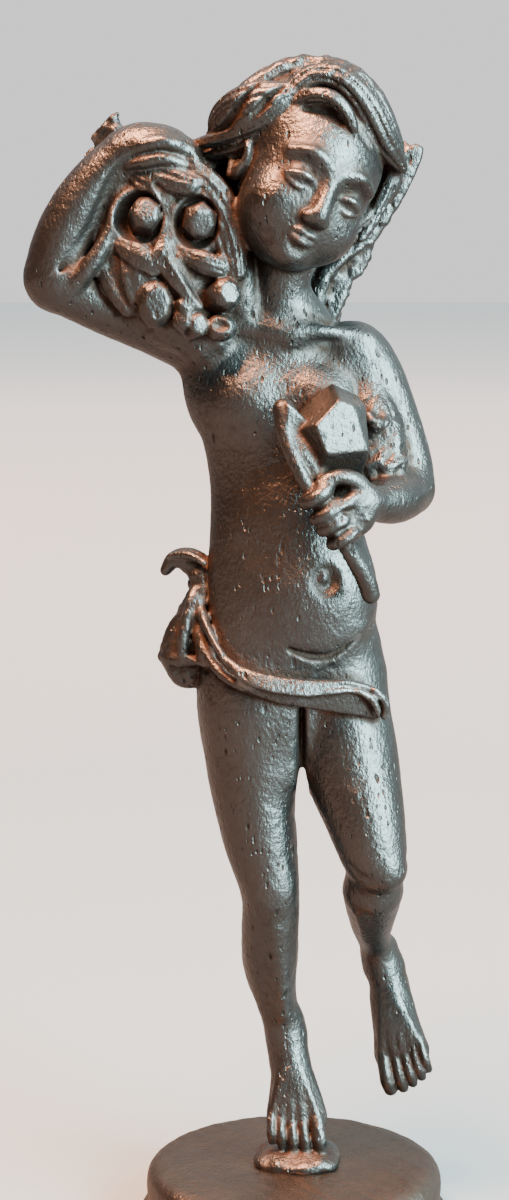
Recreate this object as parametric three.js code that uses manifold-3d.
// A cast metal statuette: a young winged figure on tiptoe on a small round pad, over a turned disc base.
// The raised right arm holds a sheaf of faceted buds on the shoulder, and the left hand holds a rod with a
// faceted block. Units are millimetres, +Z is up, and the figure faces -Y. The origin is under the base.
import * as THREE from "three";
import { mergeVertices } from "three/addons/utils/BufferGeometryUtils.js";
import Module from "manifold-3d";

const wasm = await Module();
wasm.setup();

// Driving dimensions of the base
const BASE_RADIUS = 21.6;
const FLANGE_HEIGHT = 2.2;
const GROOVE_RADIUS = 20.0;
const PLATE_RADIUS = 20.4;
const PLATE_HEIGHT = 8.5;
const BASE_HEIGHT = 8.8;
const SEAT_RADIUS = 8.0;
const BASE_SEGMENTS = 36;

// Driving dimensions of the figure
const FRONT = new THREE.Vector3(0, -1, 0);
const HEAD_CENTRE = [0.0, -3.6, 142.9];
const HEAD_YAW = 20;
const HEAD_NOD = 8;
const HEAD_TILT = 27;
const HEAD_SCALE = 0.95;
const PAD_HEIGHT = 2.0;

// The figure stands this far to the side of the disc's centre
const STANCE = 1.15;

// A domed end has one ring, leaning this far round towards its tip
const DOME_LEAN = 0.98;

const degrees = THREE.MathUtils.degToRad;
const vector = (p) => new THREE.Vector3(...p);

// A three.js geometry as a solid, with its shared vertices merged and its faces pointing out.
function solid(geometry) {
  const bare = geometry.index ? geometry.toNonIndexed() : geometry.clone();
  for (const name of Object.keys(bare.attributes)) {
    if (name !== "position") bare.deleteAttribute(name);
  }
  const merged = mergeVertices(bare, 1e-4);
  const corners = merged.attributes.position;
  const triVerts = new Uint32Array(merged.index.array);
  let volume = 0;
  const [a, b, c] = [new THREE.Vector3(), new THREE.Vector3(), new THREE.Vector3()];
  for (let i = 0; i < triVerts.length; i += 3) {
    a.fromBufferAttribute(corners, triVerts[i]);
    b.fromBufferAttribute(corners, triVerts[i + 1]);
    c.fromBufferAttribute(corners, triVerts[i + 2]);
    volume += a.dot(b.cross(c));
  }
  if (volume < 0) {
    for (let i = 0; i < triVerts.length; i += 3) {
      [triVerts[i + 1], triVerts[i + 2]] = [triVerts[i + 2], triVerts[i + 1]];
    }
  }
  return new wasm.Manifold(new wasm.Mesh({ numProp: 3, vertProperties: corners.array, triVerts }));
}

// A solid back to a three.js geometry.
function geometryOf(made) {
  const mesh = made.getMesh();
  const places = new Float32Array(mesh.numVert * 3);
  for (let i = 0; i < mesh.numVert; i++) {
    places.set(mesh.vertProperties.subarray(i * mesh.numProp, i * mesh.numProp + 3), i * 3);
  }
  const geometry = new THREE.BufferGeometry();
  geometry.setAttribute("position", new THREE.BufferAttribute(places, 3));
  geometry.setIndex(new THREE.BufferAttribute(new Uint32Array(mesh.triVerts), 1));
  geometry.computeVertexNormals();
  return geometry;
}

const join = (solids) => solids.reduce((all, one) => all.add(one));

// The same solid with the small sealed gaps between joined pieces filled, as the cast metal is.
const filled = (made) => join(made.decompose().filter((shell) => shell.volume() > 0));

// A rounded body swept through stations of [x, y, z, half width, half depth]. The width lies across the
// front direction and the depth along it. The first end runs to a point and the last is domed.
function limb(stations, { sides = 8, front = FRONT, dome = 1 } = {}) {
  const line = new THREE.CatmullRomCurve3(stations.map(([x, y, z]) => new THREE.Vector3(x, y, z)));
  const sizes = new THREE.CatmullRomCurve3(
    stations.map(([, , , wide, deep = wide]) => new THREE.Vector3(wide, deep, 0)),
  );
  const last = stations.length - 1;
  const rings = [];
  const addRing = (share, lean) => {
    const centre = line.getPoint(share);
    const along = line.getTangent(share);
    const size = sizes.getPoint(share);
    const side = new THREE.Vector3().crossVectors(along, front).normalize();
    const ahead = new THREE.Vector3().crossVectors(side, along).normalize();
    const reach = Math.min(size.x, size.y) * dome;
    centre.addScaledVector(along, Math.sin(lean) * reach);
    rings.push({ centre, side, ahead, wide: size.x * Math.cos(lean), deep: size.y * Math.cos(lean) });
  };
  for (let i = 0; i <= last; i++) addRing(i / last, 0);
  addRing(1, DOME_LEAN);
  const points = [];
  for (const ring of rings) {
    for (let k = 0; k < sides; k++) {
      const turn = (2 * Math.PI * k) / sides;
      const place = ring.centre.clone();
      place.addScaledVector(ring.side, ring.wide * Math.cos(turn));
      place.addScaledVector(ring.ahead, ring.deep * Math.sin(turn));
      points.push(place);
    }
  }
  const tip = (share, sign) => {
    const size = sizes.getPoint(share);
    const reach = Math.min(size.x, size.y) * dome;
    return line.getPoint(share).addScaledVector(line.getTangent(share), sign * reach);
  };
  const start = points.push(tip(0, -1)) - 1;
  const end = points.push(tip(1, 1)) - 1;
  const faces = [];
  for (let i = 0; i < rings.length - 1; i++) {
    for (let k = 0; k < sides; k++) {
      const [p, q] = [i * sides + k, i * sides + ((k + 1) % sides)];
      faces.push(p, q, q + sides, p, q + sides, p + sides);
    }
  }
  const top = (rings.length - 1) * sides;
  for (let k = 0; k < sides; k++) {
    const next = (k + 1) % sides;
    faces.push(start, next, k, end, top + k, top + next);
  }
  return solid(new THREE.BufferGeometry().setFromPoints(points).setIndex(faces));
}

// An ellipsoid with its three half sizes, turned by a rotation.
function ellipsoid(centre, halves, turn = new THREE.Quaternion(), detail = 8) {
  const geometry = new THREE.SphereGeometry(1, detail, Math.round(detail * 0.7));
  geometry.scale(...halves);
  geometry.applyQuaternion(turn);
  geometry.translate(...centre);
  return solid(geometry);
}

// A cut bud: a coarse faceted ball, flattened towards the viewer, over a rounded cup.
function bud(centre, radius, spin, facing = [0, -1, 0]) {
  const towards = vector(facing).normalize();
  const turn = new THREE.Quaternion().setFromUnitVectors(new THREE.Vector3(0, 0, 1), towards);
  turn.multiply(new THREE.Quaternion().setFromAxisAngle(new THREE.Vector3(0, 0, 1), degrees(spin)));
  const ball = new THREE.IcosahedronGeometry(radius * 1.06);
  ball.scale(1, 1, 0.9);
  ball.applyQuaternion(turn);
  ball.translate(...centre);
  const back = vector(centre).addScaledVector(towards, -0.62 * radius);
  return join([solid(ball), ellipsoid(back.toArray(), [radius * 1.28, radius * 1.28, radius], turn, 6)]);
}

// The head's own directions, from its yaw, nod and tilt
const headTurn = new THREE.Quaternion()
  .setFromAxisAngle(new THREE.Vector3(0, 0, 1), degrees(HEAD_YAW))
  .multiply(new THREE.Quaternion().setFromAxisAngle(new THREE.Vector3(1, 0, 0), degrees(HEAD_NOD)))
  .multiply(new THREE.Quaternion().setFromAxisAngle(new THREE.Vector3(0, 1, 0), degrees(HEAD_TILT)));

// A place in the head's own frame: right, back and up from the head's centre
function onHead(right, back, up) {
  const place = vector([right, back, up]).multiplyScalar(HEAD_SCALE).applyQuaternion(headTurn);
  return place.add(vector(HEAD_CENTRE)).toArray();
}

function torso() {
  const trunk = [
    [-1.4, 0.7, 68, 10.0, 6.6],
    [-1.8, 0.9, 76, 12.4, 8.0],
    [-2.0, 0.6, 82, 11.6, 7.9],
    [-2.2, 0.1, 90, 10.8, 7.8],
    [-2.3, 0.2, 99, 10.3, 7.2],
    [-2.4, 0.6, 106, 10.6, 7.2],
    [-2.8, 0.8, 113, 11.6, 7.2],
    [-3.0, 1.0, 119.4, 11.4, 6.2],
    [-2.6, 0.6, 124.2, 6.4, 4.6],
    [-3.1, -1.0, 129, 4.0, 3.9],
    [-1.9, -1.8, 136, 4.2, 4.3],
  ];
  return [
    limb(trunk, { sides: 11 }),
    ellipsoid([-12.2, 0.9, 117.6], [4.6, 4.8, 5.6], undefined, 6),
    ellipsoid([0.8, -3.0, 88.2], [8.6, 7.2, 8.0], undefined, 8),
    ellipsoid([-7.6, -3.0, 113.6], [5.2, 4.4, 4.6], undefined, 7),
    ellipsoid([2.0, -3.0, 113.6], [5.2, 4.4, 4.6], undefined, 7),
    ellipsoid([-6.8, 4.0, 73.5], [6.2, 6.2, 6.8], undefined, 7),
    ellipsoid([3.7, 4.0, 73.5], [6.2, 6.2, 6.8], undefined, 7),
  ];
}

function rightLeg() {
  const leg = [
    [-7.2, 0.4, 71, 6.9, 7.4],
    [-6.8, -0.6, 62.8, 6.0, 6.6],
    [-5.7, -1.6, 54, 5.0, 5.4],
    [-4.6, -1.9, 48.8, 4.1, 4.7],
    [-4.35, -1.1, 44.6, 3.85, 4.3],
    [-4.45, 0.6, 39, 3.85, 4.2],
    [-4.2, 1.6, 34.5, 3.3, 3.7],
    [-3.0, 2.4, 28.2, 2.5, 2.9],
  ];
  const foot = [
    [-2.4, 2.6, 27.4, 2.4, 2.9],
    [-2.0, 1.4, 21.8, 2.7, 2.9],
    [-1.4, -0.6, 18.0, 3.6, 2.5],
    [-0.8, -2.2, 14.8, 4.3, 2.0],
    [-0.7, -2.9, 13.0, 4.3, 1.5],
  ];
  const heel = limb([
    [-2.2, 4.2, 25.4, 2.1],
    [-2.1, 4.8, 21.6, 2.3],
    [-1.2, 1.8, 15.6, 3.0, 1.8],
    [-0.8, -0.6, 11.4, 3.4, 1.5],
  ]);
  const toes = [0, 1, 2, 3, 4].map((k) => {
    const great = k === 4;
    const across = -4.1 + 1.75 * k + (great ? 0.2 : 0);
    const size = great ? 1.2 : 0.85;
    return limb([
      [across, -2.9, 14.4, size, size],
      [across, -4.0, 12.4, size, size],
      [across, -4.4 - 0.3 * Math.sin((Math.PI * k) / 4), 10.9, size * 0.9, size],
    ], { sides: 5 });
  });
  return [limb(leg, { sides: 9 }), limb(foot), heel, ...toes];
}

function leftLeg() {
  const thigh = [
    [5.2, 0.2, 71.6, 6.5, 7.2],
    [6.9, -2.3, 63.2, 6.3, 6.4],
    [8.5, -4.6, 57.4, 5.3, 5.4],
    [9.8, -6.0, 52.8, 4.3, 4.5],
    [10.1, -5.8, 50.6, 3.9, 4.1],
  ];
  const shank = [
    [9.6, -4.4, 50.0, 3.9, 3.7],
    [9.5, 0.2, 45.4, 3.7, 4.1],
    [9.6, 4.4, 41.8, 3.1, 3.5],
    [9.9, 8.4, 38.0, 2.6, 2.7],
    [10.6, 10.6, 34.0, 2.5, 2.5],
  ];
  const foot = [
    [10.7, 11.4, 35.0, 2.5, 2.7],
    [12.0, 11.0, 30.5, 3.1, 2.8],
    [13.1, 10.2, 26, 3.6, 2.3],
    [14.0, 9.6, 22, 3.8, 1.9],
  ];
  const heel = limb([
    [10.8, 13.2, 35.0, 2.1],
    [11.3, 13.8, 31.8, 2.4],
    [12.5, 12.4, 26.6, 2.7, 1.7],
    [13.8, 11.1, 21.8, 3.2, 1.4],
  ]);
  const toes = [0, 1, 2, 3, 4].map((k) => {
    const share = k / 4;
    const across = 11.7 + 5.6 * share;
    const great = k === 0;
    const size = great ? 1.15 : 0.86;
    const drop = 15.8 + 4.2 * share * share;
    return limb([
      [across, 9.4, 21.4 + 1.2 * share, size, size],
      [across + 0.3, 9.0, (21.4 + drop) / 2, size, size],
      [across + 0.5, 8.8, drop, size * 0.9, size * 0.9],
    ], { sides: 5 });
  });
  return [limb(thigh, { sides: 9 }), limb(shank, { sides: 9, front: vector([0, -0.6, -0.8]) }),
    limb(foot), heel, ...toes];
}

function rightArm() {
  const upper = [
    [-9.0, 1.2, 119.4, 4.8, 4.9],
    [-13.5, 1.0, 121.6, 4.7, 4.8],
    [-19.5, 0.2, 124.0, 4.2, 4.3],
    [-25.8, -1.4, 126.6, 4.0, 4.1],
    [-31.6, -2.8, 129.6, 4.4, 4.3],
  ];
  const fore = [
    [-32.2, -3.0, 130.4, 4.4, 4.4],
    [-31.4, -3.8, 135.4, 4.1, 4.2],
    [-29.0, -4.4, 139.8, 3.8, 4.0],
    [-25.6, -4.6, 144.0, 3.5, 3.7],
    [-21.2, -4.6, 146.8, 3.2, 3.8],
    [-17.2, -4.3, 146.8, 2.7, 3.8],
  ];
  const fingers = [0, 1, 2, 3].map((k) => limb([
    [-17.4, -6.6 + 1.6 * k, 147.6, 1.0, 1.0],
    [-15.0, -6.8 + 1.6 * k, 146.4, 1.05, 1.05],
    [-14.1, -6.6 + 1.5 * k, 142.6, 0.9, 0.9],
  ], { sides: 5 }));
  const outward = vector([0, -1, 0.1]);
  return [limb(upper, { front: outward }), limb(fore, { sides: 9, front: outward }), ...fingers];
}

function leftArm() {
  const upper = [
    [6.6, 1.3, 119.8, 4.7, 4.8],
    [9.4, 0.9, 117.0, 4.1, 4.3],
    [11.6, 0.5, 112.8, 3.4, 3.8],
    [13.2, -0.1, 107.6, 3.3, 3.6],
    [13.8, -1.2, 102.8, 3.5, 3.5],
  ];
  const fore = [
    [13.6, -1.8, 102.1, 3.6, 3.5],
    [12.2, -5.4, 101.6, 3.8, 3.4],
    [10.2, -9.0, 101.5, 3.3, 3.0],
    [8.2, -12.0, 101.4, 2.8, 2.5],
    [5.6, -13.6, 100.6, 3.2, 2.4],
  ];
  const fingers = [0, 1, 2, 3].map((k) => limb([
    [4.6 + 0.7 * k, -15.2 + 0.2 * k, 103.4 - 1.6 * k, 1.0, 1.0],
    [2.2 + 0.7 * k, -16.9 + 0.3 * k, 102.6 - 1.6 * k, 0.95, 0.95],
    [-0.1 + 0.7 * k, -15.2 + 0.3 * k, 101.8 - 1.6 * k, 0.85, 0.85],
  ], { sides: 5, front: new THREE.Vector3(0, 0, 1) }));
  const thumb = limb([
    [7.6, -13.4, 103.2, 1.3],
    [5.6, -15.0, 105.0, 1.1],
    [2.4, -15.6, 104.4, 0.95],
  ], { sides: 5 });
  const web = limb([
    [8.2, -2.6, 116.0, 3.2, 2.0],
    [9.4, -3.6, 109.0, 4.0, 2.0],
    [9.4, -4.4, 103.5, 4.2, 2.2],
  ], { sides: 6 });
  return [limb(upper), limb(fore, { front: new THREE.Vector3(0, 0, 1) }), ...fingers, thumb, web];
}

// The rod in the left hand, and the faceted block beside its upper end
function rodAndBlock() {
  const rod = limb([
    [8.7, -11.8, 89.8, 1.2],
    [6.2, -13.8, 95.1, 1.2],
    [3.9, -15.0, 98.5, 1.0],
    [1.3, -15.4, 102.7, 1.0],
    [-0.8, -15.0, 106.4, 1.1],
    [-2.4, -13.6, 110.6, 1.3],
    [-2.5, -12.4, 113.6, 1.4],
  ], { sides: 6 });
  const block = new THREE.DodecahedronGeometry(1, 0);
  block.scale(5.4, 4.0, 6.2);
  block.rotateY(degrees(20));
  block.translate(3.8, -12.4, 110.6);
  return [rod, solid(block), ellipsoid([3.2, -9.4, 109.6], [4.4, 3.4, 4.8], undefined, 6)];
}

// The sheaf on the right shoulder: a leafy body with buds in rounded cups
function sheaf() {
  const body = limb([
    [-12.8, -3.2, 122.6, 4.6, 3.6],
    [-16.2, -2.8, 128.0, 8.6, 4.8],
    [-18.0, -2.4, 134.4, 9.4, 5.3],
    [-18.6, -2.0, 140.6, 8.0, 5.1],
    [-18.4, -2.0, 145.0, 4.8, 3.6],
  ], { sides: 9 });
  const buds = [
    bud([-20.4, -7.2, 138.6], 2.2, 10, [-0.1, -1, 0.3]),
    bud([-13.4, -7.4, 137.6], 2.3, 40, [0.1, -1, -0.15]),
    bud([-19.1, -7.4, 127.0], 2.8, 70, [0.05, -1, 0]),
    bud([-9.9, -7.8, 128.2], 2.1, 20, [0.2, -1, 0.3]),
    bud([-14.6, -8.0, 125.4], 1.9, 55, [0, -1, 0.2]),
    bud([-10.7, -7.6, 123.8], 1.8, 5, [0.1, -1, -0.3]),
    bud([-18.4, 2.4, 135.0], 2.8, 30, [-0.4, 1, 0.2]),
  ];
  const leaves = [
    [[-18.2, -7.4, 134.0], [-16.4, -8.2, 130.6], [-13.4, -8.4, 126.8]],
    [[-12.4, -6.4, 141.2], [-9.8, -7.0, 136.6], [-8.8, -7.2, 130.6]],
    [[-20.0, -6.2, 143.2], [-16.4, -7.2, 142.0], [-12.6, -7.6, 140.6]],
    [[-25.0, -5.2, 134.6], [-24.2, -5.8, 130.4], [-22.8, -6.0, 126.4]],
  ].map((line) => limb(line.map((p, i) => [...p, i === 1 ? 1.7 : 0.9, 0.9]), { sides: 4 }));
  return [body, ...buds, ...leaves];
}

// The cloth: a rolled band round the hips, a short skirt under it, and two flying ends at the right hip
function cloth() {
  const band = [
    [-14.6, -1.6, 88.6, 1.0, 1.0],
    [-13.4, -4.8, 84.2, 1.0, 1.0],
    [-11.2, -7.4, 79.6, 1.2, 1.0],
    [-5.8, -9.4, 77.2, 1.5, 1.3],
    [0.0, -9.8, 76.2, 1.6, 1.3],
    [6.0, -8.8, 75.6, 1.6, 1.3],
    [10.2, -6.0, 74.8, 1.5, 1.2],
    [10.8, -1.4, 76.2, 1.2, 1.2],
    [9.4, 4.8, 79.4, 1.2, 1.1],
    [5.2, 8.6, 82.2, 1.2, 1.1],
    [-0.6, 10.0, 84.4, 1.2, 1.1],
    [-7.2, 9.4, 86.2, 1.2, 1.1],
    [-12.6, 6.0, 88.0, 1.2, 1.1],
    [-14.9, 1.6, 89.2, 1.1, 1.1],
  ];
  const seat = [
    [9.0, 3.6, 74.6, 3.4, 1.1],
    [4.2, 9.0, 75.8, 5.0, 1.2],
    [-1.4, 10.0, 76.8, 5.8, 1.2],
    [-7.6, 9.8, 78.2, 6.4, 1.2],
    [-13.2, 6.0, 80.0, 6.2, 1.3],
    [-15.0, 1.4, 82.0, 5.2, 1.3],
  ];
  const endUp = [
    [-13.6, -1.4, 88.4, 1.6, 1.5],
    [-14.4, -0.6, 91.8, 1.9, 1.5],
    [-16.6, 0.1, 92.8, 1.5, 1.3],
    [-18.4, 0.4, 91.4, 0.9, 1.0],
  ];
  const endDown = [
    [-14.7, -1.6, 86.8, 1.5, 1.6],
    [-15.7, -1.0, 82.8, 2.6, 2.4],
    [-16.1, -0.5, 80.0, 3.1, 2.8],
    [-15.2, -0.4, 78.0, 3.0, 2.4],
  ];
  const outward = new THREE.Vector3(0, 0, 1);
  return [
    limb(band, { sides: 5, front: outward }),
    limb(seat, { sides: 6, front: vector([0.2, 1, 0.2]) }),
    limb(endUp, { sides: 6 }),
    limb(endDown, { sides: 7 }),
  ];
}

// One wing: an arm plate along the leading edge, and feathers that fan from it
function wing(root, tip, sweep, backward) {
  const from = vector(root);
  const to = vector(tip);
  const outward = Math.sign(to.x - from.x);
  const along = to.clone().sub(from);
  const across = vector([outward * along.z, 0, -outward * along.x]).normalize();
  const count = 4;
  const feathers = [];
  for (let k = 0; k < count; k++) {
    const share = k / (count - 1);
    const start = from.clone().addScaledVector(along, 0.12 + 0.42 * (1 - share));
    const reach = from.clone().addScaledVector(along, 1 - 0.72 * share);
    reach.addScaledVector(across, sweep * Math.sin((Math.PI / 2) * Math.min(1, share * 1.4)));
    reach.y += backward * (1 - share);
    const middle = start.clone().lerp(reach, 0.55).add(vector([0, 0.5, 0]));
    feathers.push(limb([
      [...start.toArray(), 1.6, 0.9],
      [...middle.toArray(), 2.0, 0.85],
      [...reach.toArray(), 1.2, 0.7],
    ], { sides: 4, dome: 0.8 }));
  }
  const arm = limb([
    [from.x - outward * 1.0, from.y - 2.0, from.z - 3.0, 2.6, 2.4],
    [...from.clone().addScaledVector(along, 0.15).toArray(), 2.8, 1.6],
    [...from.clone().addScaledVector(along, 0.45).toArray(), 2.4, 1.2],
    [...from.clone().addScaledVector(along, 0.8).toArray(), 1.6, 1.0],
  ], { sides: 5 });
  return [arm, ...feathers];
}

function head() {
  const part = (place, halves, detail) => (
    ellipsoid(onHead(...place), halves.map((half) => half * HEAD_SCALE), headTurn, detail)
  );
  return [
    part([0, 0.8, 1.8], [9.8, 10.6, 10.0], 10),
    part([0, -2.6, -3.6], [8.3, 7.4, 8.6], 10),
    part([0, -6.0, -10.6], [2.9, 2.8, 2.4], 6),
    part([0, -9.9, -3.8], [1.3, 1.6, 2.3], 6),
    part([-9.2, -0.4, -2.4], [1.4, 2.0, 2.6], 6),
  ];
}

// Hair: a cap of overlapping locks that fall from a parting on the crown
function hair() {
  const cap = ellipsoid(onHead(0, 2.4, 3.2), [10.2, 10.2, 9.8], headTurn, 9);
  const roll = limb([
    [-11.4, -4.2, 148.8, 1.6],
    [-8.6, -6.2, 150.9, 3.0, 2.8],
    [-4.3, -7.9, 152.5, 2.8],
    [-1.4, -8.4, 153.5, 1.3],
  ], { sides: 6 });
  const band = limb([
    [-2.0, -6.6, 152.8, 1.4, 1.8],
    [1.8, -6.4, 156.2, 2.2, 3.2],
    [6.2, -5.6, 154.4, 2.5, 3.4],
    [9.4, -4.6, 150.2, 2.4, 3.2],
    [11.6, -2.8, 146.4, 1.8, 2.2],
    [12.8, -2.0, 144.4, 0.9, 1.1],
  ], { sides: 6 });
  const locks = [
    [[1.0, -2.0, 12.2], [5.6, -3.0, 10.8], [9.4, -1.2, 6.8], [10.4, 1.6, 1.4]],
    [[-1.4, -1.4, 12.0], [-6.4, -2.6, 10.0], [-9.8, -0.4, 5.8], [-9.6, 2.8, 0.6]],
    [[0.6, 4.4, 12.0], [5.0, 7.2, 9.0], [6.4, 9.2, 3.6], [5.0, 8.8, -3.0]],
    [[-0.6, 4.8, 11.8], [-5.2, 7.4, 8.6], [-6.6, 9.2, 3.2], [-5.0, 8.8, -3.2]],
    [[9.2, -2.4, 2.6], [10.4, -0.6, -1.4], [9.8, 1.6, -4.6], [7.8, 3.4, -7.0]],
  ].map((line) => limb(
    line.map((p, i) => [...onHead(...p), i === 3 ? 1.4 : 2.3, i === 3 ? 1.2 : 1.8]),
    { sides: 5, front: vector(onHead(0, 0, 1)).sub(vector(HEAD_CENTRE)).cross(vector([0.3, 1, 0])) },
  ));
  return [cap, roll, band, ...locks];
}

function pad() {
  const profile = [
    [0, BASE_HEIGHT],
    [5.6, BASE_HEIGHT],
    [6.0, BASE_HEIGHT + 0.5],
    [5.7, BASE_HEIGHT + 1.3],
    [4.8, BASE_HEIGHT + PAD_HEIGHT],
    [0, BASE_HEIGHT + PAD_HEIGHT + 0.3],
  ].map(([r, z]) => new THREE.Vector2(r, z));
  const turned = new THREE.LatheGeometry(profile, 14);
  turned.rotateX(Math.PI / 2);
  turned.scale(1, 0.94, 1);
  turned.translate(-0.9, 0, 0);
  return solid(turned);
}

function figure() {
  const neckWeb = limb([
    [1.2, 6.0, 122.4, 2.2, 1.2],
    [3.6, 6.6, 129.0, 3.0, 1.2],
    [7.6, 7.4, 136.4, 2.6, 1.1],
  ], { sides: 5 });
  return filled(join([
    pad(),
    ...torso(),
    ...rightLeg(),
    ...leftLeg(),
    ...rightArm(),
    ...leftArm(),
    ...rodAndBlock(),
    ...sheaf(),
    ...cloth(),
    ...wing([2.6, 7.4, 120.5], [15.0, 9.6, 147.8], 1.4, 0.2),
    neckWeb,
    ...wing([-8.6, 7.6, 120.5], [-26.6, 9.4, 150.6], 3.0, 0.6),
    ...head(),
    ...hair(),
  ]).translate([STANCE, 0, 0]));
}

// The turned disc: a flange, a groove and a thick plate with a rounded shoulder and a nearly flat top
function base() {
  const profile = [[0, 0], [BASE_RADIUS - 0.5, 0], [BASE_RADIUS, 0.5], [BASE_RADIUS, FLANGE_HEIGHT - 0.7]];
  const bead = 2;
  for (let i = 1; i <= bead; i++) {
    const turn = (Math.PI / 2) * (i / bead);
    profile.push([BASE_RADIUS - 1.4 * (1 - Math.cos(turn)), FLANGE_HEIGHT - 0.7 + 0.9 * Math.sin(turn)]);
  }
  profile.push([GROOVE_RADIUS, FLANGE_HEIGHT + 0.3], [GROOVE_RADIUS, FLANGE_HEIGHT + 1.0]);
  profile.push([PLATE_RADIUS, FLANGE_HEIGHT + 2.0]);
  const shoulder = 3;
  for (let i = 0; i <= shoulder; i++) {
    const turn = (Math.PI / 2) * (i / shoulder);
    profile.push([PLATE_RADIUS - 2.2 * (1 - Math.cos(turn)), 6.4 + (PLATE_HEIGHT - 6.4) * Math.sin(turn)]);
  }
  profile.push([SEAT_RADIUS, BASE_HEIGHT], [0, BASE_HEIGHT]);
  const turned = new THREE.LatheGeometry(profile.map(([r, z]) => new THREE.Vector2(r, z)), BASE_SEGMENTS);
  turned.rotateX(Math.PI / 2);
  return solid(turned);
}

const castMetal = new THREE.MeshStandardMaterial({ color: 0x7d7a74, roughness: 0.38, metalness: 1.0 });
const baseMetal = new THREE.MeshStandardMaterial({ color: 0x7a6a5c, roughness: 0.5, metalness: 1.0 });

function named(name, made, material) {
  const mesh = new THREE.Mesh(geometryOf(made), material);
  mesh.name = name;
  return mesh;
}

const statuette = new THREE.Group();
statuette.add(named("angel_figure", figure(), castMetal));
statuette.add(named("disc_base", base(), baseMetal));

export default statuette;
